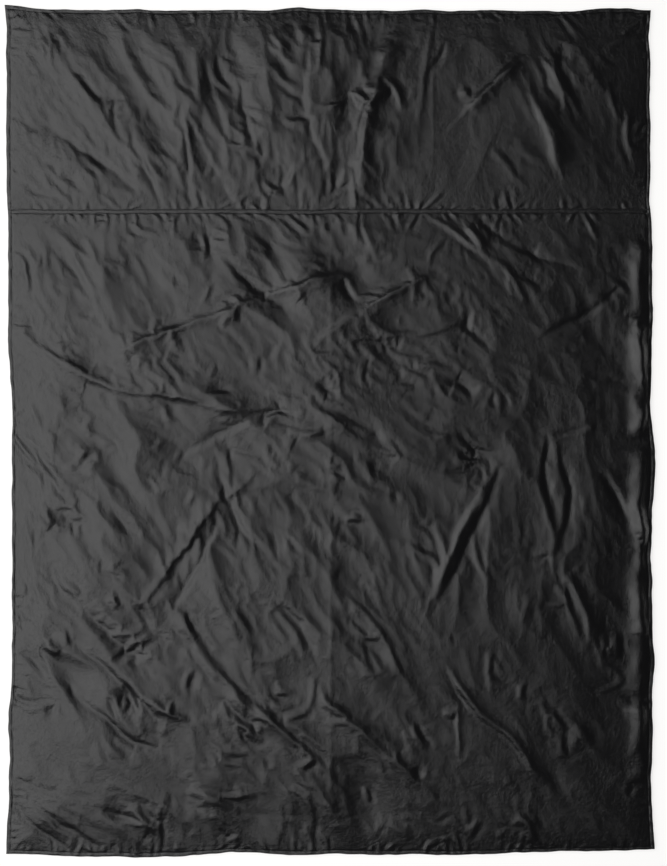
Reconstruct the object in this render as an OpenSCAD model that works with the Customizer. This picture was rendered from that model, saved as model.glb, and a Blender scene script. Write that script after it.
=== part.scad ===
// Two-section camp quilt lying flat: width along X, head end at +Y, back on the plane z = 0.
// Each section is an upper cloth, a lower cloth and a batt of insulation. The two sections are
// joined by a stitched-down cross seam, which is also the line where the head section folds.

/* [Quilt] */
// Width of the quilt, from edge to edge
quilt_w = 1570; // [900:10:2200]
// Length of the quilt, from the foot end to the head end
quilt_l = 2070; // [1500:10:2600]
// Height of the quilt where it is fully lofted
loft = 24; // [18:1:40]
// Thickness of one ply of cloth
cloth = 0.5; // [0.3:0.1:0.8]

/* [Cross seam] */
// Distance from the head end to the middle of the cross seam
head_panel_l = 500; // [400:10:700]
// Distance between the two rows of stitches
row_gap = 9; // [5:0.5:14]
// Distance from each row to the edge of the stitched-down band
row_margin = 4; // [4:0.5:8]
// Distance over which the top rises from the seam to the full loft
seam_slope = 130; // [110:5:180]
// Free gap between the two sections at the fold line
fold_gap = 0.4; // [0.3:0.1:0.6]

/* [Edges] */
// Width of the flat, stitched-down rim round the quilt
rim_w = 11; // [10:1:20]
// Distance from the outer edge to the topstitching
topstitch_inset = 9; // [5:1:9]
// Height of the middle of the rim, where upper and lower cloth meet
rim_z = 8; // [6:1:10]
// Distance over which the top rises from the rim to the full loft
edge_slope = 45; // [30:5:80]
// Distance over which the underside drops from a rim or seam to the floor
under_slope = 40; // [20:5:80]

/* [Thread] */
// Radius of the sewing thread
thread_r = 0.2; // [0.15:0.05:0.3]
// Distance from the outer edge to the hidden seam that closes the quilt
hidden_inset = 2; // [1:0.5:4]
// Free gap round the hidden thread, between the two plies that hold it
hidden_clear = 0.05; // [0.02:0.01:0.1]

/* [Hidden] */

$fn = 24;
rim_t = 2 * cloth;                      // the cloth is doubled where it is turned in
band_w = row_gap + 2 * row_margin;      // flat band of the cross seam
seam_y = quilt_l / 2 - head_panel_l;    // middle of the cross seam
fold_y = seam_y + band_w / 2;           // line about which the head section folds
tongue_w = 2;                           // flat start of the head section at the fold line
row_end = 1;                            // the rows stop this far inside the topstitching

// A section is [low y, high y, rim at low y, rim at high y, slope at low y, slope at high y].
MAIN = [-quilt_l / 2, fold_y - fold_gap / 2, rim_w, band_w, edge_slope, seam_slope];
HEAD = [fold_y + fold_gap / 2, quilt_l / 2, tongue_w, rim_w, seam_slope, edge_slope];

// Colours
face_colour = "#26262a";
back_colour = "#222225";
batt_colour = "#e8e6df";
thread_colour = "#141416";

// Side view of a cloth's outer shape from a to b: rim, slope, flat and back again.
function outer_side(a, b, rims, slopes, z_rim, z_flat) = [
    [a, rim_z], [a, z_rim], [a + rims[0], z_rim],
    [a + rims[0] + slopes[0], z_flat], [b - rims[1] - slopes[1], z_flat],
    [b - rims[1], z_rim], [b, z_rim], [b, rim_z]
];

// Side view of the space that the insulation fills above or below the height of the rim.
function inner_side(a, b, rims, slopes, z_flat) = [
    [a + rims[0], rim_z], [a + rims[0] + slopes[0], z_flat],
    [b - rims[1] - slopes[1], z_flat], [b - rims[1], rim_z]
];

// The solid that has side_x as its view along Y and side_y as its view along X.
module crossed(side_x, side_y) {
    intersection() {
        rotate([90, 0, 0])
            linear_extrude(height = 2 * quilt_l, center = true) polygon(side_x);
        rotate([90, 0, 90])
            linear_extrude(height = 2 * quilt_w, center = true) polygon(side_y);
    }
}

// Space for the insulation of one section, on one side of the rim's height.
module batt_half(s, slope_x, slope_lo, slope_hi, z_flat) {
    crossed(
        inner_side(-quilt_w / 2, quilt_w / 2, [rim_w, rim_w], [slope_x, slope_x], z_flat),
        inner_side(s[0], s[1], [s[2], s[3]], [slope_lo, slope_hi], z_flat)
    );
}

module batt_top(s) {
    batt_half(s, edge_slope, s[4], s[5], loft - cloth);
}

module batt_bottom(s) {
    batt_half(s, under_slope, under_slope, under_slope, cloth);
}

// One cloth of one section: the outer shape without the insulation and the hidden thread.
module cloth_half(s, slope_x, slope_lo, slope_hi, z_rim, z_flat) {
    difference() {
        crossed(
            outer_side(-quilt_w / 2, quilt_w / 2, [rim_w, rim_w], [slope_x, slope_x], z_rim, z_flat),
            outer_side(s[0], s[1], [s[2], s[3]], [slope_lo, slope_hi], z_rim, z_flat)
        );
        children();
    }
}

module face_cloth(s) {
    cloth_half(s, edge_slope, s[4], s[5], rim_z + rim_t, loft) {
        batt_top(s);
        hidden_line(s, thread_r + hidden_clear);
    }
}

module back_cloth(s) {
    cloth_half(s, under_slope, under_slope, under_slope, rim_z - rim_t, 0) {
        batt_bottom(s);
        hidden_line(s, thread_r + hidden_clear);
    }
}

// A thread laid along points: round runs with a ball at each bend.
module thread_line(points, r) {
    for (i = [1:len(points) - 1]) {
        step = points[i] - points[i - 1];
        translate(points[i - 1])
            rotate([0, acos(step[2] / norm(step)), atan2(step[1], step[0])])
                cylinder(h = norm(step), r = r);
    }
    for (i = [1:1:len(points) - 2]) translate(points[i]) sphere(r);
}

// Three sides of a section's outline, inset from the outer edges and open at the fold line.
function open_outline(s, inset, z) =
    let (
        x = quilt_w / 2 - inset,
        head = s[1] > fold_y,
        y_edge = head ? s[1] - inset : s[0] + inset,
        y_fold = head ? s[0] + tongue_w : s[1] - tongue_w
    )
    [[-x, y_fold, z], [-x, y_edge, z], [x, y_edge, z], [x, y_fold, z]];

module hidden_line(s, r) {
    thread_line(open_outline(s, hidden_inset, rim_z), r);
}

// The needle thread lies on the rim and the bobbin thread under it.
module edge_line(s, side) {
    thread_line(open_outline(s, topstitch_inset, rim_z + side * (rim_t + thread_r)), thread_r);
}

// A stitch row of the cross seam, above (side 1) or below (side -1) the band.
module seam_row(row, side) {
    x = quilt_w / 2 - topstitch_inset - row_end;
    y = seam_y + row * row_gap / 2;
    z = rim_z + side * (rim_t + thread_r);
    thread_line([[-x, y, z], [x, y, z]], thread_r);
}

module face_main_panel() { color(face_colour) face_cloth(MAIN); }
module back_main_panel() { color(back_colour) back_cloth(MAIN); }
module main_insulation() { color(batt_colour) { batt_top(MAIN); batt_bottom(MAIN); } }
module face_head_panel() { color(face_colour) face_cloth(HEAD); }
module back_head_panel() { color(back_colour) back_cloth(HEAD); }
module head_insulation() { color(batt_colour) { batt_top(HEAD); batt_bottom(HEAD); } }
module upper_row_needle_thread() { color(thread_colour) seam_row(1, 1); }
module upper_row_bobbin_thread() { color(thread_colour) seam_row(1, -1); }
module lower_row_needle_thread() { color(thread_colour) seam_row(-1, 1); }
module lower_row_bobbin_thread() { color(thread_colour) seam_row(-1, -1); }
module main_edge_needle_thread() { color(thread_colour) edge_line(MAIN, 1); }
module main_edge_bobbin_thread() { color(thread_colour) edge_line(MAIN, -1); }
module main_hidden_seam_thread() { color(thread_colour) hidden_line(MAIN, thread_r); }
module head_edge_needle_thread() { color(thread_colour) edge_line(HEAD, 1); }
module head_edge_bobbin_thread() { color(thread_colour) edge_line(HEAD, -1); }
module head_hidden_seam_thread() { color(thread_colour) hidden_line(HEAD, thread_r); }

face_main_panel();
back_main_panel();
main_insulation();
face_head_panel();
back_head_panel();
head_insulation();
upper_row_needle_thread();
upper_row_bobbin_thread();
lower_row_needle_thread();
lower_row_bobbin_thread();
main_edge_needle_thread();
main_edge_bobbin_thread();
main_hidden_seam_thread();
head_edge_needle_thread();
head_edge_bobbin_thread();
head_hidden_seam_thread();
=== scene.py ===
"""Camp quilt: a black nylon quilt with a head panel sewn on by a double row, lying on a pale floor.

The upper and the lower cloth are relaxed here as real sheets: each has a little more cloth than the
space it lies in, so the spare length stands up as wrinkles, creases and puckers at the seams.
All lengths are in metres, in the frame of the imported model, which is lying flat with its head at +Y.
"""
import math

import bpy
import numpy as np
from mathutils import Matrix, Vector


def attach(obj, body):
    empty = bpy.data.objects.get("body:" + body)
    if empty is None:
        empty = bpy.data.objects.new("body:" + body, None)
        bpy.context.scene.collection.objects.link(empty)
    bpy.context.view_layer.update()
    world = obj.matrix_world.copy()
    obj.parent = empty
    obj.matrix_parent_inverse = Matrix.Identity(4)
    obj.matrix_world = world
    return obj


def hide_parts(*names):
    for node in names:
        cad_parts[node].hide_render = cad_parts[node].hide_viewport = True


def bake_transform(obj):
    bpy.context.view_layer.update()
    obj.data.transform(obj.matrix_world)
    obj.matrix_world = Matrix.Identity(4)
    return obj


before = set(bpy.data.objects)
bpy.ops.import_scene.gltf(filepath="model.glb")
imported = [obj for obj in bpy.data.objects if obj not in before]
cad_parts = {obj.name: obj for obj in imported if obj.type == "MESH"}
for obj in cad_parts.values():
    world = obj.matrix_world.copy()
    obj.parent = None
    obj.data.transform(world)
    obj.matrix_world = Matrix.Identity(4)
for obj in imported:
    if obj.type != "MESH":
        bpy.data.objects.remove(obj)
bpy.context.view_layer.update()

# ---------------------------------------------------------------- the quilt's driving dimensions
WIDTH = 1.57            # side to side
LENGTH = 2.07           # head to foot
LOFT = 0.022            # usual height of the upper cloth over the floor
SEAM_Y = 0.535          # middle of the double row that joins the two panels
ROW_GAP = 0.009         # between the two rows of the joining seam
FOLD_Y = 0.5435         # the line that the head section turns on
SPLIT_Y = 0.5410        # where the main cloths end and the head cloths begin
RIM_Z = 0.008           # height of the outer edge, where the upper and lower cloth meet
PLY = 0.001             # one cloth and its seam allowance
TOPSTITCH = 0.009       # from the outer edge to the topstitching
HIDDEN_SEAM = 0.002     # from the outer edge to the hidden turned seam
THREAD_R = 0.0003
STITCH_PITCH = 0.0036
STITCH_LENGTH = 0.0028
BATT_INSET = 0.020      # from the outer edge to the insulation
BATT_GAP = 0.0012       # clear space between the insulation and each cloth
MAIN_BATT_HEAD = 0.521  # where the main section's insulation ends, and the head section's begins
HEAD_BATT_FOOT = 0.555
UPPER_Z = (RIM_Z + 0.0004, 0.0335)      # the lowest and highest that the upper cloth may lie
LOWER_Z = (-0.0085, -0.0004)            # the same for the lower cloth, measured downward
MM = 0.001

LOW_ROW, HIGH_ROW = SEAM_Y - ROW_GAP / 2, SEAM_Y + ROW_GAP / 2
F = np.float32


# ---------------------------------------------------------------- numbers and curves
def bump_weights(f):
    """Shares of four neighbouring lattice values in a smooth blend between the middle two."""
    return (
        (1 - f) ** 3 / 6,
        (3 * f**3 - 6 * f**2 + 4) / 6,
        (-3 * f**3 + 3 * f**2 + 3 * f + 1) / 6,
        f**3 / 6,
    )


def noise(x, y, scale, seed):
    """A smooth random field of about unit height, with features about scale across."""
    cells = 256
    lattice = np.random.default_rng(seed).standard_normal((cells, cells))
    u, v = x / scale + 100.0, y / scale + 100.0
    i, j = np.floor(u).astype(int), np.floor(v).astype(int)
    across, along = bump_weights(u - i), bump_weights(v - j)
    total = 0.0
    for a in range(4):
        for b in range(4):
            total = total + across[a] * along[b] * lattice[(j + b) % cells, (i + a) % cells]
    return 1.6 * total


def spline_between(a, b, c, d, f):
    """A smooth value a share f of the way from b to c."""
    return b + 0.5 * f * (c - a + f * (2 * a - 5 * b + 4 * c - d + f * (3 * (b - c) + d - a)))


def curve(points, count=14):
    """A smooth open line through a few points."""
    p = np.array(points, float)
    if len(p) == 2:
        return p
    p = np.vstack([2 * p[0] - p[1], p, 2 * p[-1] - p[-2]])
    t = np.linspace(0, len(p) - 3 - 1e-9, count)
    k = t.astype(int)
    return spline_between(p[k], p[k + 1], p[k + 2], p[k + 3], (t - k)[:, None])


def graded_lines(low, high, step, fine, marks, reach):
    """Grid lines from low to high: fine apart near the marks, a step apart elsewhere."""
    t = np.linspace(low, high, 4001)
    near = np.min(np.abs(t[:, None] - np.array(marks)[None, :]), axis=1)
    size = fine + (step - fine) * np.clip((near - reach) / reach, 0, 1)
    rate = 0.5 * (1 / size[1:] + 1 / size[:-1])
    count = np.concatenate([[0], np.cumsum(np.diff(t) * rate)])
    return np.interp(np.linspace(0, count[-1], round(count[-1]) + 1), count, t)


def along_lines(values, old, new, axis):
    """Values known on old grid lines, read on new ones."""
    v = np.moveaxis(values, axis, 0)
    t = np.interp(new, old, np.arange(len(old)))
    k = np.clip(t.astype(int), 0, len(old) - 2)
    f = (t - k).reshape((-1,) + (1,) * (v.ndim - 1))
    last = len(old) - 1
    out = spline_between(v[np.maximum(k - 1, 0)], v[k], v[k + 1], v[np.minimum(k + 2, last)], f)
    return np.moveaxis(out, 0, axis)


def rounded(d, reach):
    """Rises from 0 at d = 0 to 1 at d = reach, like the quarter of a circle."""
    return np.sqrt(1 - (1 - np.clip(d / reach, 0, 1)) ** 2)


def bell(d, breadth):
    """Falls from 1 at d = 0 to nearly 0 two breadths away."""
    return np.exp(-((d / breadth) ** 2))


def saturating(d, slope, top):
    """Rises at a slope and levels off at top."""
    return top * (1 - np.exp(-d * slope / top))


# ---------------------------------------------------------------- where things lie
def edge_gap(x, y):
    """Distance to the nearest outer edge."""
    return np.minimum(WIDTH / 2 - np.abs(x), LENGTH / 2 - np.abs(y))


def seam_gap(y):
    """Distance to the nearer row of the joining seam, 0 between the rows."""
    return np.maximum(np.abs(y - SEAM_Y) - ROW_GAP / 2, 0)


# How far each side of the outline stands out from the straight one: (place along the side, mm).
OUTLINE = {
    "left": [(-1.03, 8), (-0.98, 6), (-0.9, 1), (-0.72, 0), (-0.6, -7), (-0.3, -8), (0.05, -7),
             (0.18, 1), (0.5, 2), (0.58, 6), (0.98, 7), (1.03, 12)],
    "right": [(-1.03, 3), (-0.9, -2), (-0.65, -2), (-0.57, 2), (-0.4, -4), (-0.3, -4), (-0.2, 0),
              (-0.05, 2), (0.07, -5), (0.2, -2), (0.45, -2), (0.5, -7), (1.0, -8), (1.03, -6)],
    "top": [(-0.785, 4), (-0.765, 0), (-0.72, -5), (-0.6, -10), (-0.15, -10), (-0.07, -4), (0.03, -10),
            (0.58, -11), (0.68, -5), (0.75, -8), (0.78, -10)],
    "bottom": [(-0.78, -3), (-0.6, 2), (-0.47, 4), (-0.38, 2), (-0.24, -9), (-0.1, -2), (0.37, -2),
               (0.45, -9), (0.6, -12), (0.78, -15)],
}


# The outline's own small waves, and the joining seam's drift: (height mm, size along the line).
OUTLINE_WAVES = [(1.5, 0.040), (0.5, 0.013)]
SEAM_WAVES = [(1.3, 0.110), (0.7, 0.020)]
OUTLINE_FADE, SEAM_FADE = 0.045, 0.03


def waves(t, sizes, seed):
    """Small waves along a line, in metres."""
    return sum(tall * MM * noise(t, 0 * t, size, seed + k) for k, (tall, size) in enumerate(sizes))


def side_shift(side, t, seed):
    """How far the outline stands out at places t along one side."""
    places, out = np.array(OUTLINE[side], float).T
    return np.interp(t, places, out) * MM + waves(t, OUTLINE_WAVES, seed)


def real_outline(x, y):
    """Points moved so that the straight outline becomes the real, slightly wavy one."""
    left = np.exp(-(WIDTH / 2 + x) / OUTLINE_FADE)
    right = np.exp(-(WIDTH / 2 - x) / OUTLINE_FADE)
    top = np.exp(-(LENGTH / 2 - y) / OUTLINE_FADE)
    bottom = np.exp(-(LENGTH / 2 + y) / OUTLINE_FADE)
    dx = right * side_shift("right", y, 61) - left * side_shift("left", y, 63)
    dy = top * side_shift("top", x, 65) - bottom * side_shift("bottom", x, 67)
    dy = dy + waves(x, SEAM_WAVES, 69) * bell(y - SEAM_Y, SEAM_FADE)
    return x + dx, y + dy


# ---------------------------------------------------------------- creases, wrinkles and puckers
# Creases that the quilt was left with: (points on the line, width mm, spare cloth, height mm, lean).
# A lean of 1 has its steep side away from the light, and -1 towards it.
CREASES = [
    ([(-0.55, 0.18), (-0.34, 0.26), (-0.12, 0.34), (0.05, 0.40), (0.10, 0.45)], 16, 0.021, 6.3, -1),
    ([(0.10, 0.43), (0.08, 0.50), (0.075, 0.53)], 11, 0.015, 4.2, -1),
    ([(0.065, 0.56), (0.075, 0.66), (0.10, 0.80), (0.145, 0.96)], 21, 0.009, 10.5, -1),
    ([(-0.02, 0.22), (0.10, 0.31), (0.24, 0.38)], 11, 0.015, 4.9, -1),
    ([(-0.78, 0.26), (-0.68, 0.18), (-0.51, 0.10), (-0.40, 0.09), (-0.29, 0.06), (-0.16, 0.05)],
     15, 0.021, 5.5, 1),
    ([(-0.37, -0.06), (-0.26, 0.00), (-0.15, 0.05)], 12, 0.015, -2.8, 1),
    ([(-0.45, -0.41), (-0.37, -0.30), (-0.28, -0.18), (-0.20, -0.12)], 12, 0.024, 5.0, 1),
    ([(-0.39, -0.44), (-0.33, -0.34), (-0.27, -0.20)], 10, 0.015, -2.8, 1),
    ([(-0.38, -0.43), (-0.25, -0.61), (-0.10, -0.74), (0.00, -0.84)], 15, 0.024, 5.0, 1),
    ([(-0.03, -0.64), (0.11, -0.76), (0.25, -0.89)], 13, 0.021, 3.3, 1),
    ([(-0.08, 0.08), (0.03, 0.01), (0.14, -0.06)], 8, 0.015, 2.2, 1),
    ([(0.03, -0.23), (0.08, -0.29), (0.12, -0.39)], 8, 0.018, 2.2, 1),
    ([(0.03, -0.39), (0.10, -0.46), (0.14, -0.53), (0.19, -0.62)], 8, 0.018, 2.2, 1),
    ([(0.29, -0.61), (0.36, -0.68), (0.43, -0.74), (0.54, -0.89)], 9, 0.021, 4.2, -1),
    ([(0.31, -0.67), (0.31, -0.79)], 5, 0.015, 2.8, -1),
    ([(0.38, -0.11), (0.31, -0.26), (0.24, -0.42)], 13, 0.018, 4.9, -1),
    ([(-0.77, -0.01), (-0.70, -0.09), (-0.63, -0.20)], 10, 0.018, -2.8, 1),
    ([(-0.68, -0.36), (-0.57, -0.46), (-0.44, -0.59)], 12, 0.018, -3.3, 1),
    ([(-0.71, -0.56), (-0.59, -0.67), (-0.44, -0.79)], 12, 0.021, -3.3, 1),
    ([(-0.62, -0.51), (-0.51, -0.61), (-0.42, -0.70)], 8, 0.015, -2.2, 1),
    ([(-0.78, -0.84), (-0.71, -0.87), (-0.61, -0.90)], 8, 0.021, -2.2, 1),
    ([(-0.77, -0.92), (-0.71, -0.97), (-0.63, -1.02)], 8, 0.021, -2.2, 1),
    ([(-0.73, -0.90), (-0.65, -0.96), (-0.56, -1.01)], 8, 0.021, -2.2, 1),
    ([(-0.69, 0.75), (-0.60, 0.68), (-0.49, 0.61)], 10, 0.021, -2.8, 1),
    ([(-0.49, 0.72), (-0.45, 0.65), (-0.42, 0.56)], 9, 0.021, -2.8, 1),
    ([(-0.66, 0.90), (-0.57, 0.80), (-0.51, 0.68)], 12, 0.015, 2.8, 1),
    ([(-0.37, 0.80), (-0.35, 0.68), (-0.34, 0.55)], 8, 0.021, -2.8, 1),
    ([(-0.35, 0.76), (-0.29, 0.65), (-0.23, 0.54)], 8, 0.021, -2.8, 1),
    ([(-0.31, 0.90), (-0.28, 0.80), (-0.25, 0.70)], 8, 0.018, -2.2, 1),
    ([(-0.22, 0.84), (-0.20, 0.73), (-0.15, 0.58)], 9, 0.021, -2.8, 1),
    ([(-0.05, 0.93), (-0.06, 0.78), (-0.02, 0.65)], 9, 0.018, -2.8, 1),
    ([(0.05, 0.65), (0.06, 0.55), (0.06, 0.46)], 7, 0.015, 2.2, 1),
    ([(0.33, 0.78), (0.41, 0.86), (0.46, 0.91)], 14, 0.015, 6.3, -1),
    ([(0.48, 0.83), (0.52, 0.74), (0.55, 0.64)], 14, 0.015, 6.3, -1),
    ([(0.36, 0.52), (0.47, 0.44), (0.60, 0.39)], 8, 0.018, -3.5, -1),
    ([(0.24, 0.52), (0.30, 0.48), (0.37, 0.43)], 6, 0.015, 2.8, -1),
    ([(0.62, 0.52), (0.65, 0.46)], 5, 0.018, 3.5, -1),
    ([(0.71, 0.35), (0.62, 0.29), (0.53, 0.24)], 10, 0.015, -3.5, -1),
    ([(0.00, 0.21), (0.17, 0.23), (0.35, 0.25)], 8, 0.012, 2.2, 1),
    ([(0.41, -0.09), (0.34, -0.26), (0.26, -0.42)], 11, 0.015, -3.5, -1),
]
# The way that small wrinkles run about a place: (x, y, degrees from the X axis).
WRINKLE_RUN = [
    (-0.60, 0.80, -55), (-0.20, 0.80, -70), (0.15, 0.75, 80), (0.55, 0.80, -65),
    (-0.60, 0.35, -60), (-0.10, 0.30, -60), (0.30, 0.35, -40), (0.65, 0.30, -65),
    (-0.65, 0.05, -40), (-0.20, 0.05, -25), (0.30, 0.05, -30), (0.60, 0.00, -70),
    (-0.60, -0.35, -50), (-0.25, -0.30, -65), (0.10, -0.35, -60), (0.40, -0.25, -85),
    (-0.60, -0.75, -45), (-0.20, -0.70, -48), (0.20, -0.70, -50), (0.60, -0.70, -60),
    (-0.65, -1.00, -35), (0.00, -1.00, -60), (0.50, -1.00, -50),
]
RUN_ANGLES = [math.pi * k / 6 for k in range(6)]
# The roll along the right edge: its middle, and its lengths: (from, to, height mm).
ROLL_X = 0.755
ROLLS = [(0.27, 0.47, 8), (-0.02, 0.28, 11), (-0.52, -0.04, 12), (-0.66, -0.50, 6), (-0.86, -0.65, 11)]
# The facets' sizes: (across the run, along it, height, seed).
CRUMPLES = [(0.100, 0.22, 0.0062, 327), (0.050, 0.12, 0.0042, 332), (0.024, 0.055, 0.0013, 343),
            (0.012, 0.028, 0.0004, 354)]
CRUMPLE_SHARE = 1.15                    # of those heights
SWELL = (0.0020, 0.19, 41)              # broad unevenness under the facets: (height, size, seed)
# How much lower the facets are on the right of the head and main sections, and at the foot.
CALM_HEAD, CALM_MAIN, CALM_FOOT = 0.75, 0.55, 0.35
# Loose wrinkles: (seed, count, length, width, spare cloth, height, scatter in degrees).
UPPER_LONG = (17, 170, 0.13, 0.014, 0.03, 0.0030, 16)
UPPER_SMALL = [(8, 420, 0.055, 0.0085, 0.03, 0.0013, 40), (12, 300, 0.045, 0.0045, 0.02, 0.0006, 60)]
LOWER_LONG = (21, 170, 0.15, 0.012, 0.03, -0.0024, 30)
LOWER_SMALL = [(22, 600, 0.06, 0.007, 0.03, -0.0012, 40)]


def wrinkle_direction(x, y):
    """The angle that small wrinkles follow at a point."""
    c = s = 0.0
    for ax, ay, degrees in WRINKLE_RUN:
        weight = math.exp(-((x - ax) ** 2 + (y - ay) ** 2) / 0.22**2)
        c += weight * math.cos(2 * math.radians(degrees))
        s += weight * math.sin(2 * math.radians(degrees))
    return 0.5 * math.atan2(s, c)


EASE = 0.001                # spare cloth everywhere
LIGHT_AWAY = (0.9, -0.4)    # the way that the steep sides of creases face
STEEP, GENTLE = 0.55, 1.5   # the sides' breadths, for a crease one unit wide
RIM_FADE = 0.03             # creases are lower than usual within this distance of the outer edge
WANDER = 0.0028             # how far crease lines wander from their drawn places


def wander(x, y, seed):
    """How far a crease line wanders at a point, one way."""
    return WANDER * (noise(x, y, 0.045, seed) + 0.5 * noise(x, y, 0.016, seed + 2))


class Lay:
    """A rectangular grid of cloth with the spare cloth and the first pushes of its creases."""

    def __init__(self, xs, ys):
        self.xs, self.ys = xs, ys
        self.x, self.y = np.meshgrid(xs, ys)
        self.wx = self.x + wander(self.x, self.y, 51)
        self.wy = self.y + wander(self.x, self.y, 52)
        # Spare cloth, as a strain across, along and aslant, and the height of the creases.
        self.exx, self.eyy, self.exy, self.relief = (np.zeros(self.x.shape) for _ in range(4))
        self.exx += EASE
        self.eyy += EASE

    def window(self, p, pad):
        """The part of the grid round some points."""
        i0, i1 = np.searchsorted(self.xs, [p[:, 0].min() - pad, p[:, 0].max() + pad])
        j0, j1 = np.searchsorted(self.ys, [p[:, 1].min() - pad, p[:, 1].max() + pad])
        return slice(j0, j1), slice(i0, i1)

    def crease(self, points, width, spare, height, taper, lean):
        """Adds a crease along a line, steep on one side, and a little spare cloth across it."""
        p = curve(points)
        w = self.window(p, 4.5 * width + 0.012)
        x, y = self.wx[w], self.wy[w]
        best = np.full(x.shape, 9.0)
        nx, ny, along, offset = (np.zeros(x.shape) for _ in range(4))
        steps = np.diff(p, axis=0)
        lengths = np.hypot(steps[:, 0], steps[:, 1])
        start = 0.0
        for (ax, ay), (dx, dy), length in zip(p[:-1], steps, lengths):
            t = np.clip(((x - ax) * dx + (y - ay) * dy) / length**2, 0, 1)
            gx, gy = x - ax - t * dx, y - ay - t * dy
            d = np.hypot(gx, gy)
            near = d < best
            away = math.copysign(1.0, -dy * LIGHT_AWAY[0] + dx * LIGHT_AWAY[1]) * lean
            best = np.where(near, d, best)
            nx = np.where(near, -dy / length * away, nx)
            ny = np.where(near, dx / length * away, ny)
            offset = np.where(near, (-gx * dy + gy * dx) / length * away, offset)
            along = np.where(near, (start + t * length) / lengths.sum(), along)
            start += length
        uneven = 0.8 + 0.35 * noise(x, y, 0.035, 55)
        fade = np.sin(np.pi * np.clip(along, 0.02, 0.98)) ** taper * np.clip(uneven, 0.2, 1.5)
        side = np.where(offset > 0, STEEP, GENTLE) * width
        shape = np.exp(STEEP - np.sqrt((best / side) ** 2 + STEEP**2))
        inward = np.clip(edge_gap(x, y) / RIM_FADE, 0, 1)
        self.relief[w] += height * fade * shape * inward
        amount = spare * fade * bell(best, 1.3 * width)
        self.exx[w] += amount * nx * nx
        self.eyy[w] += amount * ny * ny
        self.exy[w] += amount * nx * ny


def loose_wrinkles(lay, seed, count, length, width, spare, height, scatter):
    """Small wrinkles laid at random along the way that wrinkles run there."""
    rng = np.random.default_rng(seed)
    for _ in range(count):
        x, y = rng.uniform(-0.77, 0.77), rng.uniform(-1.02, 1.02)
        angle = wrinkle_direction(x, y) + math.radians(rng.normal(0, scatter))
        size = length * min(0.35 + 0.65 * rng.exponential(), 2.2)
        wide = width * rng.uniform(0.7, 1.4)
        much = min(0.2 + 0.55 * rng.exponential(), 2.0)
        sign = 1 if rng.random() < 0.6 else -1
        bow = rng.normal(0, 0.10) * size
        keep = rng.random() > np.clip(0.9 * (x + 0.1), 0, 0.65)
        dx, dy = 0.5 * size * math.cos(angle), 0.5 * size * math.sin(angle)
        if not keep or abs(y - SEAM_Y) < 0.015 + abs(dy):
            continue
        middle = (x - math.sin(angle) * bow, y + math.cos(angle) * bow)
        line = [(x - dx, y - dy), middle, (x + dx, y + dy)]
        lean = 1.0 if rng.random() < 0.5 else -1.0
        lay.crease(line, wide, spare * much, sign * height * much, 0.8, lean)


def seam_puckers(lay, seed):
    """Short gathers that run away from both rows of the joining seam."""
    rng = np.random.default_rng(seed)
    for side in (-1, 1):
        x = -0.775
        while x < 0.775:
            x += 0.010 + 0.026 * rng.exponential()
            length = 0.004 + 0.015 * rng.exponential()
            slant = rng.normal(0.35, 0.8)
            y = SEAM_Y + side * (ROW_GAP / 2 + 0.001)
            line = [(x, y), (x - side * slant * length, y + side * length)]
            tall = 0.3 * MM * rng.exponential() ** 1.5
            lay.crease(line, rng.uniform(3.0, 5.0) * MM, 0.05, tall, 0.4, rng.choice([-1.0, 1.0]))


def edge_puckers(lay, seed):
    """Short gathers that run inward from the topstitching."""
    rng = np.random.default_rng(seed)
    for across, half, reach in ((True, LENGTH / 2, WIDTH / 2), (False, WIDTH / 2, LENGTH / 2)):
        for side in (-1, 1):
            t = -half + 0.015
            while t < half - 0.015:
                t += 0.010 + 0.030 * rng.exponential()
                length = 0.008 + 0.010 * rng.exponential()
                end = t + rng.normal(0, 0.35) * length
                a, b = side * (reach - TOPSTITCH - 0.001), side * (reach - TOPSTITCH - length)
                line = [(a, t), (b, end)] if across else [(t, a), (end, b)]
                tall = 0.6 * MM * rng.exponential()
                lay.crease(line, rng.uniform(3.5, 6) * MM, 0.04, tall, 0.4, rng.choice([-1.0, 1.0]))


# ---------------------------------------------------------------- cloth over springy fill
PAIRS = {
    "across": (np.s_[:, :-1], np.s_[:, 1:]),
    "along": (np.s_[:-1, :], np.s_[1:, :]),
    "falling": (np.s_[:-1, :-1], np.s_[1:, 1:]),
    "rising": (np.s_[:-1, 1:], np.s_[1:, :-1]),
}


def curvature(q):
    """How far each inner point stands from the mean of its four neighbours."""
    c = np.zeros_like(q)
    c[1:-1, 1:-1] = (q[:-2, 1:-1] + q[2:, 1:-1] + q[1:-1, :-2] + q[1:-1, 2:]) * F(0.25) - q[1:-1, 1:-1]
    return c


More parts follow.
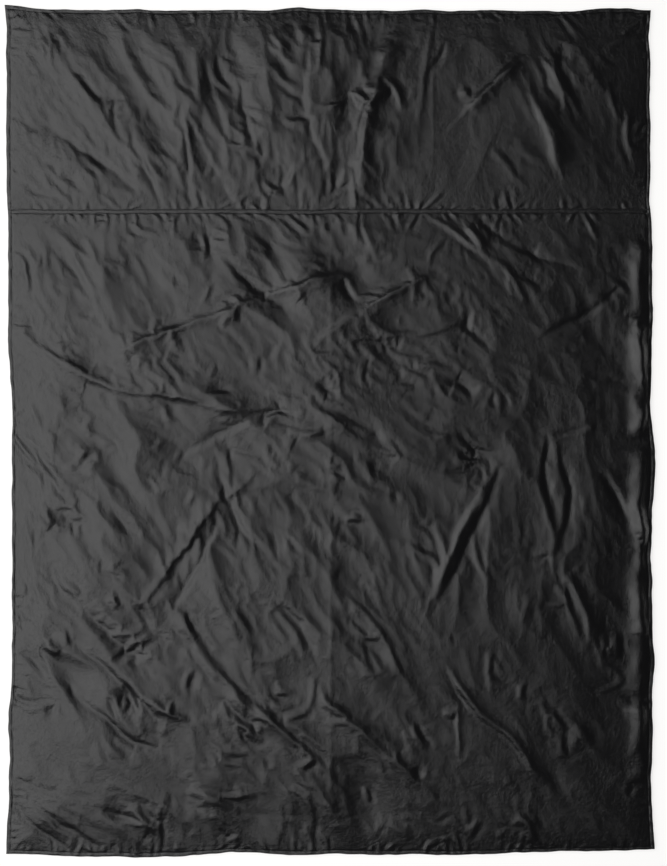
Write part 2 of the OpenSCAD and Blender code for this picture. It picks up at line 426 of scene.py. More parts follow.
class Cloth:
    """A sheet held by its fill and its seams, relaxed until its spare cloth stands up as wrinkles."""

    def __init__(self, lay, base, hold, pinned):
        """Starts at rest: hold says how tightly the fill holds each point, pinned which ones stay put."""
        self.lay = lay
        gy, gx = np.gradient(base, lay.ys, lay.xs)
        self.spare = [lay.exx + 0.5 * gx * gx, lay.eyy + 0.5 * gy * gy, lay.exy + 0.5 * gx * gy]
        self.home = [q.astype(F) for q in (lay.x, lay.y, base)]
        self.at = [q.copy() for q in self.home]
        self.speed = [np.zeros_like(q) for q in self.home]
        self.free = (~pinned).astype(F)
        self.hold = hold.astype(F) * self.free
        self.links = [self.link(kind, parity) for kind in PAIRS for parity in (0, 1)]

    def link(self, kind, parity):
        """Every other pair of neighbours one way: their cuts, rest lengths, shares and stiffness."""
        step = np.s_[:, parity::2] if kind == "across" else np.s_[parity::2, :]
        first, second = PAIRS[kind]

        def a(q):
            """The first points of the pairs."""
            return q[first][step]

        def b(q):
            """The second points of the pairs."""
            return q[second][step]

        lay = self.lay
        dx, dy = b(lay.x) - a(lay.x), b(lay.y) - a(lay.y)
        exx, eyy, exy = [0.5 * (a(q) + b(q)) for q in self.spare]
        square = dx**2 * (1 + 2 * exx) + dy**2 * (1 + 2 * eyy) + 4 * dx * dy * exy
        share = a(self.free) + b(self.free) + F(1e-6)
        stiffness = F(1.0 if kind in ("across", "along") else 0.8)
        rest = np.sqrt(square).astype(F)
        return a, b, rest, a(self.free) / share * stiffness, b(self.free) / share * stiffness

    def keep_lengths(self):
        """Moves each pair of neighbours towards its rest length."""
        for a, b, rest, share_a, share_b in self.links:
            first, second = [a(q) for q in self.at], [b(q) for q in self.at]
            d = [q - p for p, q in zip(first, second)]
            miss = 1 - rest / np.sqrt(d[0] * d[0] + d[1] * d[1] + d[2] * d[2])
            for k in range(3):
                first[k] += d[k] * (miss * share_a)
                second[k] -= d[k] * (miss * share_b)

    def relax(self, steps, fill, bend, low, high):
        """Runs the sheet for some steps against the fill's spring and its own stiffness."""
        grip, damping = F(0.02), F(0.92)
        for _ in range(steps):
            before = [q.copy() for q in self.at]
            for q, v in zip(self.at, self.speed):
                q += v
            self.at[2] -= F(bend) * self.free * curvature(curvature(self.at[2] - self.home[2]))
            self.at[2] += F(fill) * self.hold * (self.home[2] - self.at[2])
            for k in (0, 1):
                self.at[k] += grip * self.free * (self.home[k] - self.at[k])
            self.keep_lengths()
            self.keep_lengths()
            np.clip(self.at[2], low, high, out=self.at[2])
            for k in range(3):
                self.speed[k] = (self.at[k] - before[k]) * damping

    def start_from(self, coarse):
        """Takes the shape of a coarser cloth, without its relief, which this one has itself."""
        old, new = coarse.lay, self.lay
        for k in range(3):
            shift = (coarse.at[k] - coarse.home[k]).astype(float)
            shift = along_lines(along_lines(shift, old.ys, new.ys, 0), old.xs, new.xs, 1)
            self.at[k] = (self.home[k] + shift * self.free).astype(F)


def run_noise(x, y, wide, long, seed):
    """Noise whose features are long along the way that wrinkles run and narrow across it."""
    total = weights = 0.0
    for k in range(len(RUN_ANGLES)):
        c, s = math.cos(RUN_ANGLES[k]), math.sin(RUN_ANGLES[k])
        u, v = x * c + y * s, y * c - x * s
        share = run_share(x, y, RUN_ANGLES[k])
        total = total + share * noise(u / long, v / wide, 1.0, seed + 31 * k)
        weights = weights + share**2
    return total / np.sqrt(weights)


def run_share(x, y, angle):
    """How nearly wrinkles at a point run at an angle, from 0 to 1."""
    c = s = 1e-9
    for ax, ay, degrees in WRINKLE_RUN:
        weight = np.exp(-((x - ax) ** 2 + (y - ay) ** 2) / 0.16**2)
        c = c + weight * math.cos(2 * math.radians(degrees))
        s = s + weight * math.sin(2 * math.radians(degrees))
    likeness = (c * math.cos(2 * angle) + s * math.sin(2 * angle)) / np.hypot(c, s)
    return np.clip(0.5 + 0.5 * likeness, 0, 1) ** 4 + 0.02


def crumple(x, y):
    """The shallow facets of cloth that was packed: broad slopes that meet in sharp lines."""
    swell, size, swell_seed = SWELL
    height = swell * noise(x, y, size, swell_seed)
    for wide, long, tall, seed in CRUMPLES:
        n = run_noise(x, y, wide, long, seed)
        busy = np.clip(0.75 + 0.55 * noise(x, y, 0.14, seed + 7), 0.2, 1.7)
        height = height + tall * busy * (0.5 - np.sqrt(n * n + 0.004))
    right = np.clip((x - 0.10) / 0.15, 0, 1)
    foot = np.clip((-y - 0.35) / 0.3, 0, 1)
    calm = np.where(y > SEAM_Y, CALM_HEAD, CALM_MAIN)
    return CRUMPLE_SHARE * height * (1 - right * calm) * (1 - CALM_FOOT * foot)


def roll_height(x, y):
    """The soft roll that stands along the right edge below the joining seam, in a few lengths."""
    off = x - ROLL_X + 0.004 * noise(0 * x, y, 0.06, 43) + 0.003 * noise(x, y, 0.022, 44)
    across = bell(off, np.where(off < 0, 0.022, 0.013))
    length = 0.0
    for low, high, tall in ROLLS:
        length = length + tall * np.clip((y - low) / 0.03, 0, 1) * np.clip((high - y) / 0.03, 0, 1)
    return across * length * MM * np.clip(0.8 + 0.3 * noise(x, y, 0.04, 42), 0.3, 1.3)


FULL_SLOPE = 0.11               # how steeply the upper side rises from its edges and from the seam
FACET_FADE = 0.1                # facets are lower than usual within this distance of an edge or the seam
RIDGE = 0.0055                  # height of the packing fold's line at mid-width
RIDGE_RIGHT, RIDGE_LEFT = 0.11, 0.22    # and its breadths


def upper_shape(x, y):
    """Height of the smooth upper side: flat rims, full in the middle, drawn in at the seam."""
    e = np.clip(edge_gap(x, y) - TOPSTITCH, 0, None)
    s = seam_gap(y)
    inner = np.clip(edge_gap(x, y) / FACET_FADE, 0, 1) * np.clip(s / FACET_FADE, 0, 1)
    top = LOFT - RIM_Z - PLY
    full = saturating(e, FULL_SLOPE, top) * saturating(s + 0.005, FULL_SLOPE, top) / top
    ridge = RIDGE * np.exp(-np.abs(x) / np.where(x > 0, RIDGE_RIGHT, RIDGE_LEFT))
    return RIM_Z + PLY + full + inner * (crumple(x, y) + ridge) + roll_height(x, y)


def lower_shape(x, y):
    """Depth of the smooth lower side under the floor plane, negative above it."""
    e = np.clip(edge_gap(x, y) - TOPSTITCH, 0, None)
    s = seam_gap(y)
    drop = rounded(e, 0.045) * saturating(s + 0.003, 0.2, RIM_Z - PLY - 0.0008)
    return -(RIM_Z - PLY) + drop


def solver_lay(step, fine):
    """The grid that a cloth is relaxed on, finer at its edges and at the joining seam."""
    sides, ends = [-WIDTH / 2, WIDTH / 2], [-LENGTH / 2, SEAM_Y, LENGTH / 2]
    xs = graded_lines(-WIDTH / 2, WIDTH / 2, step, max(fine, 0.8 * step), sides, 0.02)
    ys = graded_lines(-LENGTH / 2, LENGTH / 2, step, fine, ends, 0.02)
    return Lay(xs, ys)


def upper_creases(lay, level):
    """Puts the upper cloth's creases on a grid, the smaller ones from the second level on."""
    for points, width, spare, height, lean in CREASES:
        lay.crease(points, width * MM, spare, height * MM, 0.5, lean)
    loose_wrinkles(lay, *UPPER_LONG)
    if level > 0:
        for wrinkles in UPPER_SMALL:
            loose_wrinkles(lay, *wrinkles)
        seam_puckers(lay, 9)
        edge_puckers(lay, 11)


def lower_creases(lay, level):
    """Puts the lower cloth's creases on a grid: fewer, and pressed by the weight on them."""
    loose_wrinkles(lay, *LOWER_LONG)
    if level > 0:
        for wrinkles in LOWER_SMALL:
            loose_wrinkles(lay, *wrinkles)
        seam_puckers(lay, 23)
        edge_puckers(lay, 24)


# Levels of detail: (grid step, step at seams, steps, fill's spring, bending stiffness).
LEVELS = [
    (0.0100, 0.0080, 240, 0.0008, 0.020),
    (0.0065, 0.0040, 130, 0.0012, 0.020),
    (0.0046, 0.0030, 70, 0.0018, 0.020),
]
RIPPLES = [(0.4, 0.050), (0.3, 0.022), (0.2, 0.010)]    # small uneven starts: (mm, size)


def relaxed(creases, shape, low, high, seed, levels):
    """Relaxes one cloth through its levels of detail, from coarse to fine."""
    last = None
    for level, (step, fine, steps, fill, bend) in enumerate(LEVELS[:levels]):
        lay = solver_lay(step, fine)
        creases(lay, level)
        gap, seam = edge_gap(lay.x, lay.y), seam_gap(lay.y)
        near = bell(np.clip(gap - 0.006, 0, 1), 0.03) + bell(seam, 0.03)
        pinned = (gap < 0.001) | (seam < 0.0005)
        cloth = Cloth(lay, shape(lay.x, lay.y) + lay.relief, 1 + 2 * near, pinned)
        if last is not None:
            cloth.start_from(last)
        height, size = RIPPLES[level]
        cloth.at[2] += (height * MM * noise(lay.x, lay.y, size, seed + level) * cloth.free).astype(F)
        cloth.relax(steps, fill, bend, F(low), F(high))
        last = cloth
    return last


# ---------------------------------------------------------------- the final sheets
EDGE_LINES = np.array([0, 0.5, 1.2, 2.2, 3.6, 5.2, 6.8, 8.0, 9.0, 10.0, 11.2, 13, 15.5, 18.5, 22]) * MM
ROW_LINES = np.array([-9, -6.5, -4.5, -3, -1.8, -0.8, 0, 0.8, 1.8]) * MM
FOLD_LINES = [SPLIT_Y, 0.5422, 0.5429, FOLD_Y, 0.5441, 0.5448, 0.546, 0.548, 0.551, 0.5545]


def side_lines(half, step):
    """Grid lines across the quilt, close together along both outer edges."""
    inner = half - EDGE_LINES[-1]
    middle = np.linspace(-inner, inner, round(2 * inner / step) + 1)[1:-1]
    return np.concatenate([-half + EDGE_LINES, middle, (half - EDGE_LINES)[::-1]])


def end_lines(step):
    """Grid lines from foot to head, close together at both ends and at the joining seam."""
    band = np.concatenate([LOW_ROW + ROW_LINES, [SEAM_Y - 0.0015, SEAM_Y + 0.0015],
                           HIGH_ROW + np.array([-1.8, -0.8, 0, 0.8]) * MM, FOLD_LINES])
    half = LENGTH / 2
    foot = -half + EDGE_LINES
    head = (half - EDGE_LINES)[::-1]
    lower = np.linspace(foot[-1], band[0], round((band[0] - foot[-1]) / step) + 1)[1:-1]
    upper = np.linspace(band[-1], head[0], round((head[0] - band[-1]) / step) + 1)[1:-1]
    return np.concatenate([foot, lower, band, upper, head])


def rim_and_rows(x, y):
    """How far the finished rim and the stitched lines stand off the smooth shape, outward."""
    gap = edge_gap(x, y)
    turned = -PLY * (1 - rounded(gap, 0.0020))
    puff = 0.00025 * bell(gap - 0.0045, 0.0028)
    topstitch = -0.0004 * bell(gap - TOPSTITCH, 0.0012)
    rows = 0.0
    for row in (LOW_ROW, HIGH_ROW):
        rows = rows - 0.0007 * bell(y - row, 0.0011)
    between = 0.00015 * bell(y - SEAM_Y, 0.0024)
    wave = 1 + 0.8 * noise(x, y, 0.010, 71) + 0.5 * noise(x, y, 0.03, 72)
    gather = 0.00045 * np.exp(-seam_gap(y) / 0.006) * (seam_gap(y) > 0)
    gather = gather * noise(x + 0.5 * (y - SEAM_Y), 0.35 * y, 0.0065, 73)
    hem = 0.0004 * np.exp(-np.abs(gap - TOPSTITCH) / 0.006) * noise(x, y, 0.008, 74)
    return turned + puff * wave + topstitch + rows + between * wave + gather + hem * (gap > 0.001)


def lowest(q, reach):
    """The lowest value within a few grid steps of each point."""
    for axis in (0, 1):
        for _ in range(reach):
            ahead, behind = np.roll(q, 1, axis), np.roll(q, -1, axis)
            q = np.minimum(np.minimum(ahead, behind), q)
    return q


class Sheet:
    """A finished cloth: its grid lines, and where each grid point lies."""

    def __init__(self, cloth, creases, shape, step, sign):
        self.xs, self.ys = side_lines(WIDTH / 2, step), end_lines(step)
        lay = Lay(self.xs, self.ys)
        creases(lay, 1)
        self.x, self.y = lay.x, lay.y
        old = cloth.lay
        moved = [(p - h).astype(float) for p, h in zip(cloth.at, cloth.home)]
        moved = [along_lines(along_lines(m, old.ys, self.ys, 0), old.xs, self.xs, 1) for m in moved]
        out = shape(self.x, self.y) + lay.relief + moved[2] + rim_and_rows(self.x, self.y)
        px, py = real_outline(self.x + moved[0], self.y + moved[1])
        self.p = np.stack([px, py, sign * out], axis=-1)
        self.inside = np.stack([px, py, sign * lowest(out, 4)], axis=-1)

    def point(self, x, y, p=None):
        """Where points of the cloth lie, from their places on the grid."""
        p = self.p if p is None else p
        i = np.clip(np.searchsorted(self.xs, x) - 1, 0, len(self.xs) - 2)
        j = np.clip(np.searchsorted(self.ys, y) - 1, 0, len(self.ys) - 2)
        u = ((x - self.xs[i]) / (self.xs[i + 1] - self.xs[i]))[:, None]
        v = ((y - self.ys[j]) / (self.ys[j + 1] - self.ys[j]))[:, None]
        low = p[j, i] * (1 - u) + p[j, i + 1] * u
        high = p[j + 1, i] * (1 - u) + p[j + 1, i + 1] * u
        return low * (1 - v) + high * v


def mesh_object(name, points, faces, material):
    """A new smooth-shaded mesh object from an array of points and a list of faces."""
    mesh = bpy.data.meshes.new(name)
    mesh.from_pydata(points.reshape(-1, 3).tolist(), [], faces)
    mesh.materials.append(material)
    mesh.polygons.foreach_set("use_smooth", np.full(len(faces), True))
    mesh.update()
    obj = bpy.data.objects.new(name, mesh)
    bpy.context.scene.collection.objects.link(obj)
    return obj


def grid_faces(rows, columns, flip=False):
    """The four-sided faces of a grid of points."""
    j, i = np.meshgrid(np.arange(rows - 1), np.arange(columns - 1), indexing="ij")
    a = (j * columns + i).ravel()
    corners = [a, a + 1, a + columns + 1, a + columns]
    return np.stack(corners[::-1] if flip else corners, axis=1)


def crest(p):
    """How sharply each point of a grid stands up, from 0 to 1: where cloth is rubbed."""
    z = p[..., 2]
    c = np.zeros_like(z)
    c[1:-1, 1:-1] = z[1:-1, 1:-1] - 0.25 * (z[:-2, 1:-1] + z[2:, 1:-1] + z[1:-1, :-2] + z[1:-1, 2:])
    return np.clip(c / 0.0005, 0, 1)


def cloth_piece(name, sheet, rows, flip, material):
    """One panel of a finished cloth, with its own cloth coordinates and worn places."""
    p = sheet.p[rows]
    obj = mesh_object(name, p, grid_faces(*p.shape[:2], flip).tolist(), material)
    mesh = obj.data
    loop_points = np.zeros(len(mesh.loops), int)
    mesh.loops.foreach_get("vertex_index", loop_points)
    places = np.stack([sheet.x[rows].ravel(), sheet.y[rows].ravel()], axis=1)
    uv = mesh.uv_layers.new(name="cloth")
    uv.data.foreach_set("uv", places[loop_points].astype(F).ravel())
    gap = edge_gap(sheet.x[rows], sheet.y[rows])
    worn = np.clip(0.6 * crest(p * [1, 1, -1 if flip else 1]) + np.exp(-gap / 0.0025), 0, 1)
    wear = mesh.attributes.new("wear", "FLOAT", "POINT")
    wear.data.foreach_set("value", worn.astype(F).ravel())
    return obj


# ---------------------------------------------------------------- stitches and hidden thread
SIDES = 6                                   # of every thread
TURNS = [2 * math.pi * k / SIDES for k in range(SIDES)]
# A stitch's rings: (place along it as a share of its length, share of its radius, dips into the cloth).
STITCH_RINGS = [(-0.5, 0.35, True), (-0.36, 0.95, False), (0.36, 0.95, False), (0.5, 0.35, True)]
DIP = 0.9 * THREAD_R


def unit(ways):
    """Directions scaled to length 1."""
    return ways / np.linalg.norm(ways, axis=1)[:, None]


def tube_faces(rings):
    """The faces of a closed tube whose points lie ring after ring."""
    faces = []
    for r in range(rings - 1):
        for k in range(SIDES):
            n = (k + 1) % SIDES
            faces.append([r * SIDES + k, r * SIDES + n, (r + 1) * SIDES + n, (r + 1) * SIDES + k])
    last = (rings - 1) * SIDES
    return faces + [list(range(SIDES))[::-1], [last + k for k in range(SIDES)]]


def stitch_piece(name, sheet, runs, sign, material):
    """The stitches of a few straight seam lines: short threads that dip into the cloth at both ends."""
    places = np.concatenate([run_places(*run) for run in runs])
    heads = np.concatenate([run_places(*run, ahead=0.0006) for run in runs])
    centres = sheet.point(places[:, 0], places[:, 1])
    ways = unit(sheet.point(heads[:, 0], heads[:, 1]) - centres)
    ups = np.tile([0.0, 0.0, float(sign)], (len(ways), 1))
    ups = unit(ups - ways * np.sum(ups * ways, axis=1)[:, None])
    across = np.cross(ways, ups)
    centres = centres + ups * 0.5 * THREAD_R
    parts = []
    for along, wide, dips in STITCH_RINGS:
        middle = centres + ways * along * STITCH_LENGTH - ups * (DIP if dips else 0.0)
        parts += [middle + (across * math.cos(a) + ups * math.sin(a)) * THREAD_R * wide for a in TURNS]
    points = np.stack(parts, axis=1)
    offsets = (np.arange(len(points)) * points.shape[1])[:, None]
    blocks = [(offsets + np.array(face)[None, :]).tolist() for face in tube_faces(len(STITCH_RINGS))]
    return mesh_object(name, points, [face for block in blocks for face in block], material)


def run_places(start, end, ahead=0.0):
    """Places of the stitches along a seam line, or points just ahead of them."""
    a, b = np.array(start), np.array(end)
    length = np.linalg.norm(b - a)
    count = int(length / STITCH_PITCH)
    t = (np.arange(count) + 0.5) * STITCH_PITCH + ahead
    return a + (b - a) * (t / length)[:, None]


def edge_runs(inset, foot):
    """The seam lines round the main section or the head section, an inset from its edges."""
    x = WIDTH / 2 - inset
    if foot:
        start, end = LOW_ROW - 0.002, -LENGTH / 2 + inset
    else:
        start, end = FOLD_Y + 0.003, LENGTH / 2 - inset
    return [((-x, start), (-x, end)), ((-x, end), (x, end)), ((x, end), (x, start))]


def hidden_thread(name, upper, lower, runs, material):
    """The thread of the turned seam, which runs between the two cloths just inside the edge."""
    spacing = 0.010
    line = []
    for start, end in runs:
        way = np.subtract(end, start)
        count = max(2, round(np.linalg.norm(way) / spacing))
        line += [np.array(start) + way * t for t in np.linspace(0, 1, count)[:-1]]
    line = np.array(line + [np.array(runs[-1][1])])
    path = 0.5 * (upper.point(line[:, 0], line[:, 1]) + lower.point(line[:, 0], line[:, 1]))
    ways = unit(np.gradient(path, axis=0))
    across = np.stack([-ways[:, 1], ways[:, 0], 0 * ways[:, 0]], axis=1)
    ups = np.cross(ways, across)
    radius = 0.8 * THREAD_R
    rings = [path + radius * (across * math.cos(a) + ups * math.sin(a)) for a in TURNS]
    return mesh_object(name, np.stack(rings, axis=1), tube_faces(len(path)), material)


# ---------------------------------------------------------------- insulation
def batt(name, upper, lower, low_y, high_y, material):
    """A closed sheet of insulation that fills the space between the two cloths of one section."""
    xs = np.linspace(-WIDTH / 2 + BATT_INSET, WIDTH / 2 - BATT_INSET, 120)
    ys = np.linspace(low_y, high_y, max(40, round((high_y - low_y) / 0.013)))
    x, y = np.meshgrid(xs, ys)
    top = upper.point(x.ravel(), y.ravel(), upper.inside).reshape(x.shape + (3,))
    bottom = lower.point(x.ravel(), y.ravel(), lower.inside).reshape(x.shape + (3,))
    middle, thinnest = 0.5 * (top[..., 2] + bottom[..., 2]), 0.0003
    half = np.clip(0.5 * (top[..., 2] - bottom[..., 2]) - BATT_GAP, thinnest, None)
    rim = np.minimum.reduce([x - xs[0], xs[-1] - x, y - ys[0], ys[-1] - y])
    half = half * rounded(rim + thinnest, 0.03)
    top[..., 2], bottom[..., 2] = middle + half, middle - half
    rows, columns = x.shape
    upper_faces = grid_faces(rows, columns)
    lower_faces = grid_faces(rows, columns, flip=True) + rows * columns
    border = np.concatenate([np.arange(columns), np.arange(1, rows) * columns + columns - 1,
                             rows * columns - 2 - np.arange(columns - 1),
                             (np.arange(rows - 2, 0, -1)) * columns])
    after = np.roll(border, -1)
    wall = np.stack([after, border, border + rows * columns, after + rows * columns], axis=1)
    points = np.concatenate([top.reshape(-1, 3), bottom.reshape(-1, 3)])
    return mesh_object(name, points, np.concatenate([upper_faces, lower_faces, wall]).tolist(), material)


# ---------------------------------------------------------------- materials
class Surface:
    """A material's Principled shader, with short ways to add nodes and join them."""

    def __init__(self, name):
        self.material = bpy.data.materials.new(name)
        self.material.use_nodes = True
        self.tree = self.material.node_tree
        self.shader = self.tree.nodes["Principled BSDF"]

    def add(self, kind, **values):
        """A new node, with some of its inputs or settings given."""
        node = self.tree.nodes.new("ShaderNode" + kind)
        for key, value in values.items():
            if key in node.inputs:
                node.inputs[key].default_value = value
            else:
                setattr(node, key, value)
        return node

    def join(self, source, node, name):
        """Leads a value into a node's input."""
        self.tree.links.new(source, node.inputs[name])

    def set(self, name, value):
        """Gives the shader a value that is the same all over."""
        self.shader.inputs[name].default_value = value

    def noise(self, place, scale, detail, rough, distortion, stretch=(1, 1, 1)):
        """A cloudy pattern, which may be stretched."""
        spread = self.add("Mapping", Scale=stretch)
        self.join(place, spread, "Vector")
        node = self.add("TexNoise", Scale=scale, Detail=detail, Roughness=rough, Distortion=distortion)
        self.join(spread.outputs["Vector"], node, "Vector")
        return node.outputs["Fac"]

    def ribs(self, place, direction, scale, distortion, detail):
        """Even ribs across a direction."""
        node = self.add("TexWave", bands_direction=direction, Scale=scale, Distortion=distortion,
                        Detail=detail)
        self.join(place, node, "Vector")
        return node.outputs["Fac"]

    def ramp(self, source, low, high, a, b):
        """A value that goes from a to b while the source goes from low to high."""
        node = self.add("MapRange")
        for key, value in {"From Min": low, "From Max": high, "To Min": a, "To Max": b}.items():
            node.inputs[key].default_value = value
        self.join(source, node, "Value")
        return node.outputs["Result"]

    def combine(self, operation, a, b):
        """A sum or product of two values."""
        node = self.add("Math", operation=operation)
        self.join(a, node, 0)
        if isinstance(b, float):
            node.inputs[1].default_value = b
        else:
            self.join(b, node, 1)
        return node.outputs["Value"]

    def between(self, share, low, high):
        """A colour between two others."""
        node = self.add("MixRGB", blend_type="MIX", Color1=(*low, 1), Color2=(*high, 1))
        self.join(share, node, "Fac")
        return node

    def bump(self, height, strength, distance):
        """The shader's normal, disturbed by a height."""
        node = self.add("Bump", Strength=strength, Distance=distance)
        self.join(height, node, "Height")
        return node


def cloth_material(name, colour, worn_colour, roughness):
    """Tightly woven nylon: fine ribs, small crinkles, cloudy gloss, dull where it is rubbed."""
    s = Surface(name)
    place = s.add("UVMap", uv_map="cloth").outputs["UV"]
    clouds = s.noise(place, 9.0, 4.0, 0.6, 0.4)
    streaks = s.noise(place, 60.0, 3.0, 0.6, 0.0, (1.0, 0.04, 1.0))
    crinkle = s.noise(place, 130.0, 5.0, 0.62, 0.9)
    fine = s.noise(place, 420.0, 3.0, 0.6, 0.4)
    weave = s.combine("MULTIPLY", s.ribs(place, "X", 900.0, 0.6, 1.0), s.ribs(place, "Y", 700.0, 0.6, 1.0))
    wear = s.add("Attribute", attribute_name="wear").outputs["Fac"]

    cloudy = s.combine("ADD", s.combine("MULTIPLY", clouds, 0.6), s.combine("MULTIPLY", streaks, 0.4))
    tone = s.between(cloudy, [0.80 * c for c in colour], [1.25 * c for c in colour])
    rubbed = s.between(s.ramp(wear, 0.2, 1.0, 0.0, 0.7), colour, worn_colour)
    s.join(tone.outputs["Color"], rubbed, "Color1")
    s.join(rubbed.outputs["Color"], s.shader, "Base Color")

    gloss = s.combine("ADD", s.ramp(clouds, 0.35, 0.65, roughness - 0.04, roughness + 0.05),
                      s.ramp(crinkle, 0.3, 0.7, -0.02, 0.02))
    gloss = s.combine("ADD", gloss, s.ramp(wear, 0.3, 1.0, 0.0, 0.05))
    s.join(gloss, s.shader, "Roughness")

    relief = s.combine("ADD", crinkle, s.combine("MULTIPLY", fine, 0.25))
    wrinkled = s.bump(relief, 1.0, 0.0010)
    woven = s.bump(weave, 0.35, 0.00012)
    s.join(wrinkled.outputs["Normal"], woven, "Normal")
    s.join(woven.outputs["Normal"], s.shader, "Normal")
    s.set("Specular IOR Level", 0.42)
    s.set("Sheen Weight", 0.04)
    s.set("Sheen Roughness", 0.45)
    return s.material


def patterned_material(name, pattern, low, high, relief, roughness):
    """A dull material whose one pattern, laid by the object's own coordinates, tints and roughens it."""
    s = Surface(name)
    node = s.add(pattern[0], **pattern[1])
    s.join(s.add("TexCoord").outputs["Object"], node, "Vector")
    s.join(s.between(node.outputs["Fac"], low, high).outputs["Color"], s.shader, "Base Color")
    s.join(s.bump(node.outputs["Fac"], *relief).outputs["Normal"], s.shader, "Normal")
    s.set("Roughness", roughness)
    return s.material


def thread_material():
    """Black polyester thread with the slant of its twist."""
    twist = ("TexWave", {"bands_direction": "DIAGONAL", "Scale": 900.0, "Distortion": 0.4})
    return patterned_material("thread", twist, (0.004, 0.004, 0.0045), (0.012, 0.012, 0.013),
                              (0.6, 0.0001), 0.55)


def fill_material():
    """White polyester fibre fill, matted and cloudy."""
    fibres = ("TexNoise", {"Scale": 420.0, "Detail": 6.0, "Roughness": 0.7, "Distortion": 1.5})
    return patterned_material("insulation", fibres, (0.55, 0.55, 0.53), (0.86, 0.86, 0.84),
                              (0.8, 0.001), 0.95)


# ---------------------------------------------------------------- studio
def facing(way):
    """The rotation that points a lamp or a camera along a direction."""
    return Vector(way).to_track_quat("-Z", "Y").to_euler()


def area_light(name, place, target, size, power):
    """A rectangular softbox that looks at a point. Its size is first along Y, then up its slope."""
    data = bpy.data.lights.new(name, "AREA")
    data.shape, data.energy = "RECTANGLE", power
    data.size, data.size_y = size
    obj = bpy.data.objects.new(name, data)
    bpy.context.scene.collection.objects.link(obj)
    obj.location = place
    obj.rotation_euler = facing(np.subtract(target, place))
    obj.visible_camera = False


def overhead_camera():
    """The camera straight above, which takes in the quilt's length and a little more."""
    height, cloth_z, view_height = 4.6, 0.02, 2.105
    camera = bpy.data.cameras.new("camera")
    camera.lens = camera.sensor_width * (height - cloth_z) / view_height
    eye = bpy.data.objects.new("camera", camera)
    eye.location = (0.006, -0.005, height)
    bpy.context.scene.collection.objects.link(eye)
    bpy.context.scene.camera = eye


def pale_floor():
    """A wide floor that shines by itself, so that it is white all round."""
    half_size = 60
    pale = Surface("pale_floor")
    pale.set("Base Color", (0.30, 0.30, 0.295, 1))
    pale.set("Roughness", 0.9)
    pale.set("Emission Color", (1.0, 0.99, 0.98, 1))
    pale.set("Emission Strength", 0.78)
    corners = half_size * np.array([[-1, -1, 0], [1, -1, 0], [1, 1, 0], [-1, 1, 0]], float)
    mesh_object("floor", corners, [[0, 1, 2, 3]], pale.material)


def studio():
    """The camera, the pale floor, one softbox on the left and a dim grey world."""
    scene = bpy.context.scene
    overhead_camera()
    pale_floor()
    area_light("left_softbox", (-1.86, 0.175, 3.19), (-0.41, 0.175, 1.81), (5.3, 4.1), 194)
    world = bpy.data.worlds.new("studio")
    world.use_nodes = True
    world.node_tree.nodes["Background"].inputs["Color"].default_value = (0.05, 0.05, 0.052, 1)
    scene.world = world
    scene.view_settings.view_transform = "Standard"


# ---------------------------------------------------------------- putting it together
def cloths():
    """The relaxed upper and lower sheets."""
    levels, step = ((3, 0.0036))
    cloth = relaxed(upper_creases, upper_shape, *UPPER_Z, 10, levels)
    upper = Sheet(cloth, upper_creases, upper_shape, step, 1)
    cloth = relaxed(lower_creases, lower_shape, *LOWER_Z, 30, 2)
    return upper, Sheet(cloth, lower_creases, lower_shape, 0.0065, -1)


def two_panels(names, sheet, flip, material):
    """A sheet's main and head panels, which share their grid line at the split."""
    k = int(np.argmin(np.abs(sheet.ys - SPLIT_Y)))
    rows = (np.s_[: k + 1], np.s_[k:])
    return [cloth_piece(name, sheet, part, flip, material) for name, part in zip(names, rows)]


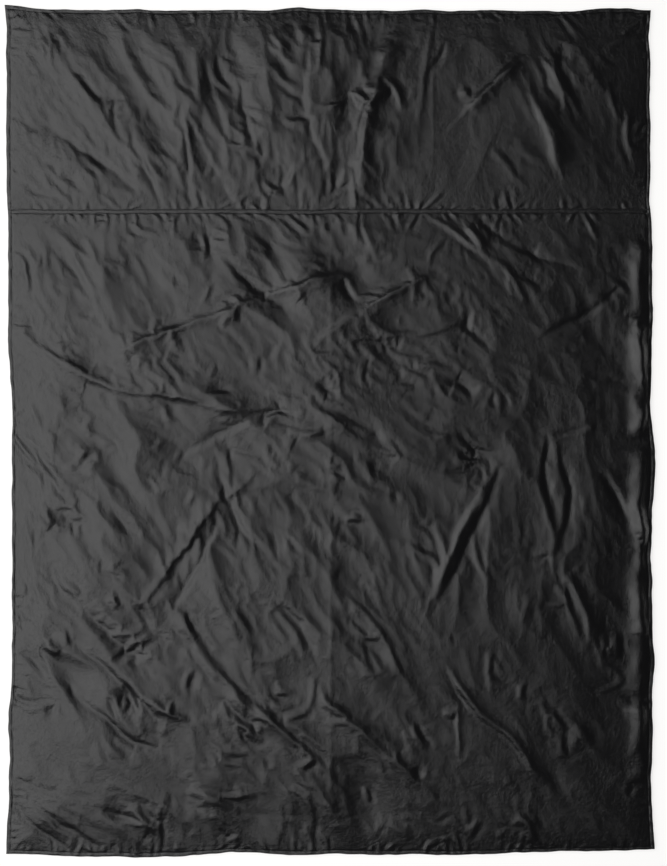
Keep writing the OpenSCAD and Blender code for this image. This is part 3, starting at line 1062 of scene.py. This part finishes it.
def add_threads(upper, lower, thread):
    """Every row of stitches and both hidden seams."""
    side = WIDTH / 2 - 0.003
    low_row, high_row = [[((-side, y), (side, y))] for y in (LOW_ROW, HIGH_ROW)]
    main_edge, head_edge = edge_runs(TOPSTITCH, True), edge_runs(TOPSTITCH, False)
    stitches = {
        "lower_row_needle": ("lower_row_needle_thread", upper, low_row, 1),
        "lower_row_bobbin": ("lower_row_bobbin_thread", lower, low_row, -1),
        "upper_row_needle": ("upper_row_needle_thread", upper, high_row, 1),
        "upper_row_bobbin": ("upper_row_bobbin_thread", lower, high_row, -1),
        "main_topstitch_needle": ("main_edge_needle_thread", upper, main_edge, 1),
        "main_topstitch_bobbin": ("main_edge_bobbin_thread", lower, main_edge, -1),
        "head_topstitch_needle": ("head_edge_needle_thread", upper, head_edge, 1),
        "head_topstitch_bobbin": ("head_edge_bobbin_thread", lower, head_edge, -1),
    }
    threads = {}
    for name, (node, sheet, runs, sign) in stitches.items():
        threads[name] = stitch_piece(name, sheet, runs, sign, thread)
        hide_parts(node)
    for name, node, foot in (("main_turned_seam", "main_hidden_seam_thread", True),
                             ("head_turned_seam", "head_hidden_seam_thread", False)):
        threads[name] = hidden_thread(name, upper, lower, edge_runs(HIDDEN_SEAM, foot), thread)
        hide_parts(node)
    for name, obj in threads.items():
        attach(obj, "head_section" if name.startswith("head") else "main_section")


def main():
    studio()
    face_cloth = cloth_material("face_nylon", (0.0050, 0.0050, 0.0054), (0.013, 0.013, 0.014), 0.19)
    back_cloth = cloth_material("back_nylon", (0.0070, 0.0070, 0.0075), (0.016, 0.016, 0.017), 0.42)
    thread, fill = thread_material(), fill_material()

    upper, lower = cloths()
    face_main, face_head = two_panels(("face_main_cloth", "face_head_cloth"), upper, False, face_cloth)
    back_main, back_head = two_panels(("back_main_cloth", "back_head_cloth"), lower, True, back_cloth)
    main_batt = batt("main_batt", upper, lower, -LENGTH / 2 + BATT_INSET, MAIN_BATT_HEAD, fill)
    head_batt = batt("head_batt", upper, lower, HEAD_BATT_FOOT, LENGTH / 2 - BATT_INSET, fill)
    add_threads(upper, lower, thread)

    for obj, node, slot in ((face_main, "face_main_panel", "face_cloth"),
                            (back_main, "back_main_panel", "back_cloth"),
                            (main_batt, "main_insulation", "insulation")):
        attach(obj, "main_section")
        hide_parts(node)
    for obj, node, slot in ((face_head, "face_head_panel", "face_cloth"),
                            (back_head, "back_head_panel", "back_cloth")):
        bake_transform(obj)
        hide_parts(node)
    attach(head_batt, "head_section")
    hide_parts("head_insulation")


main()
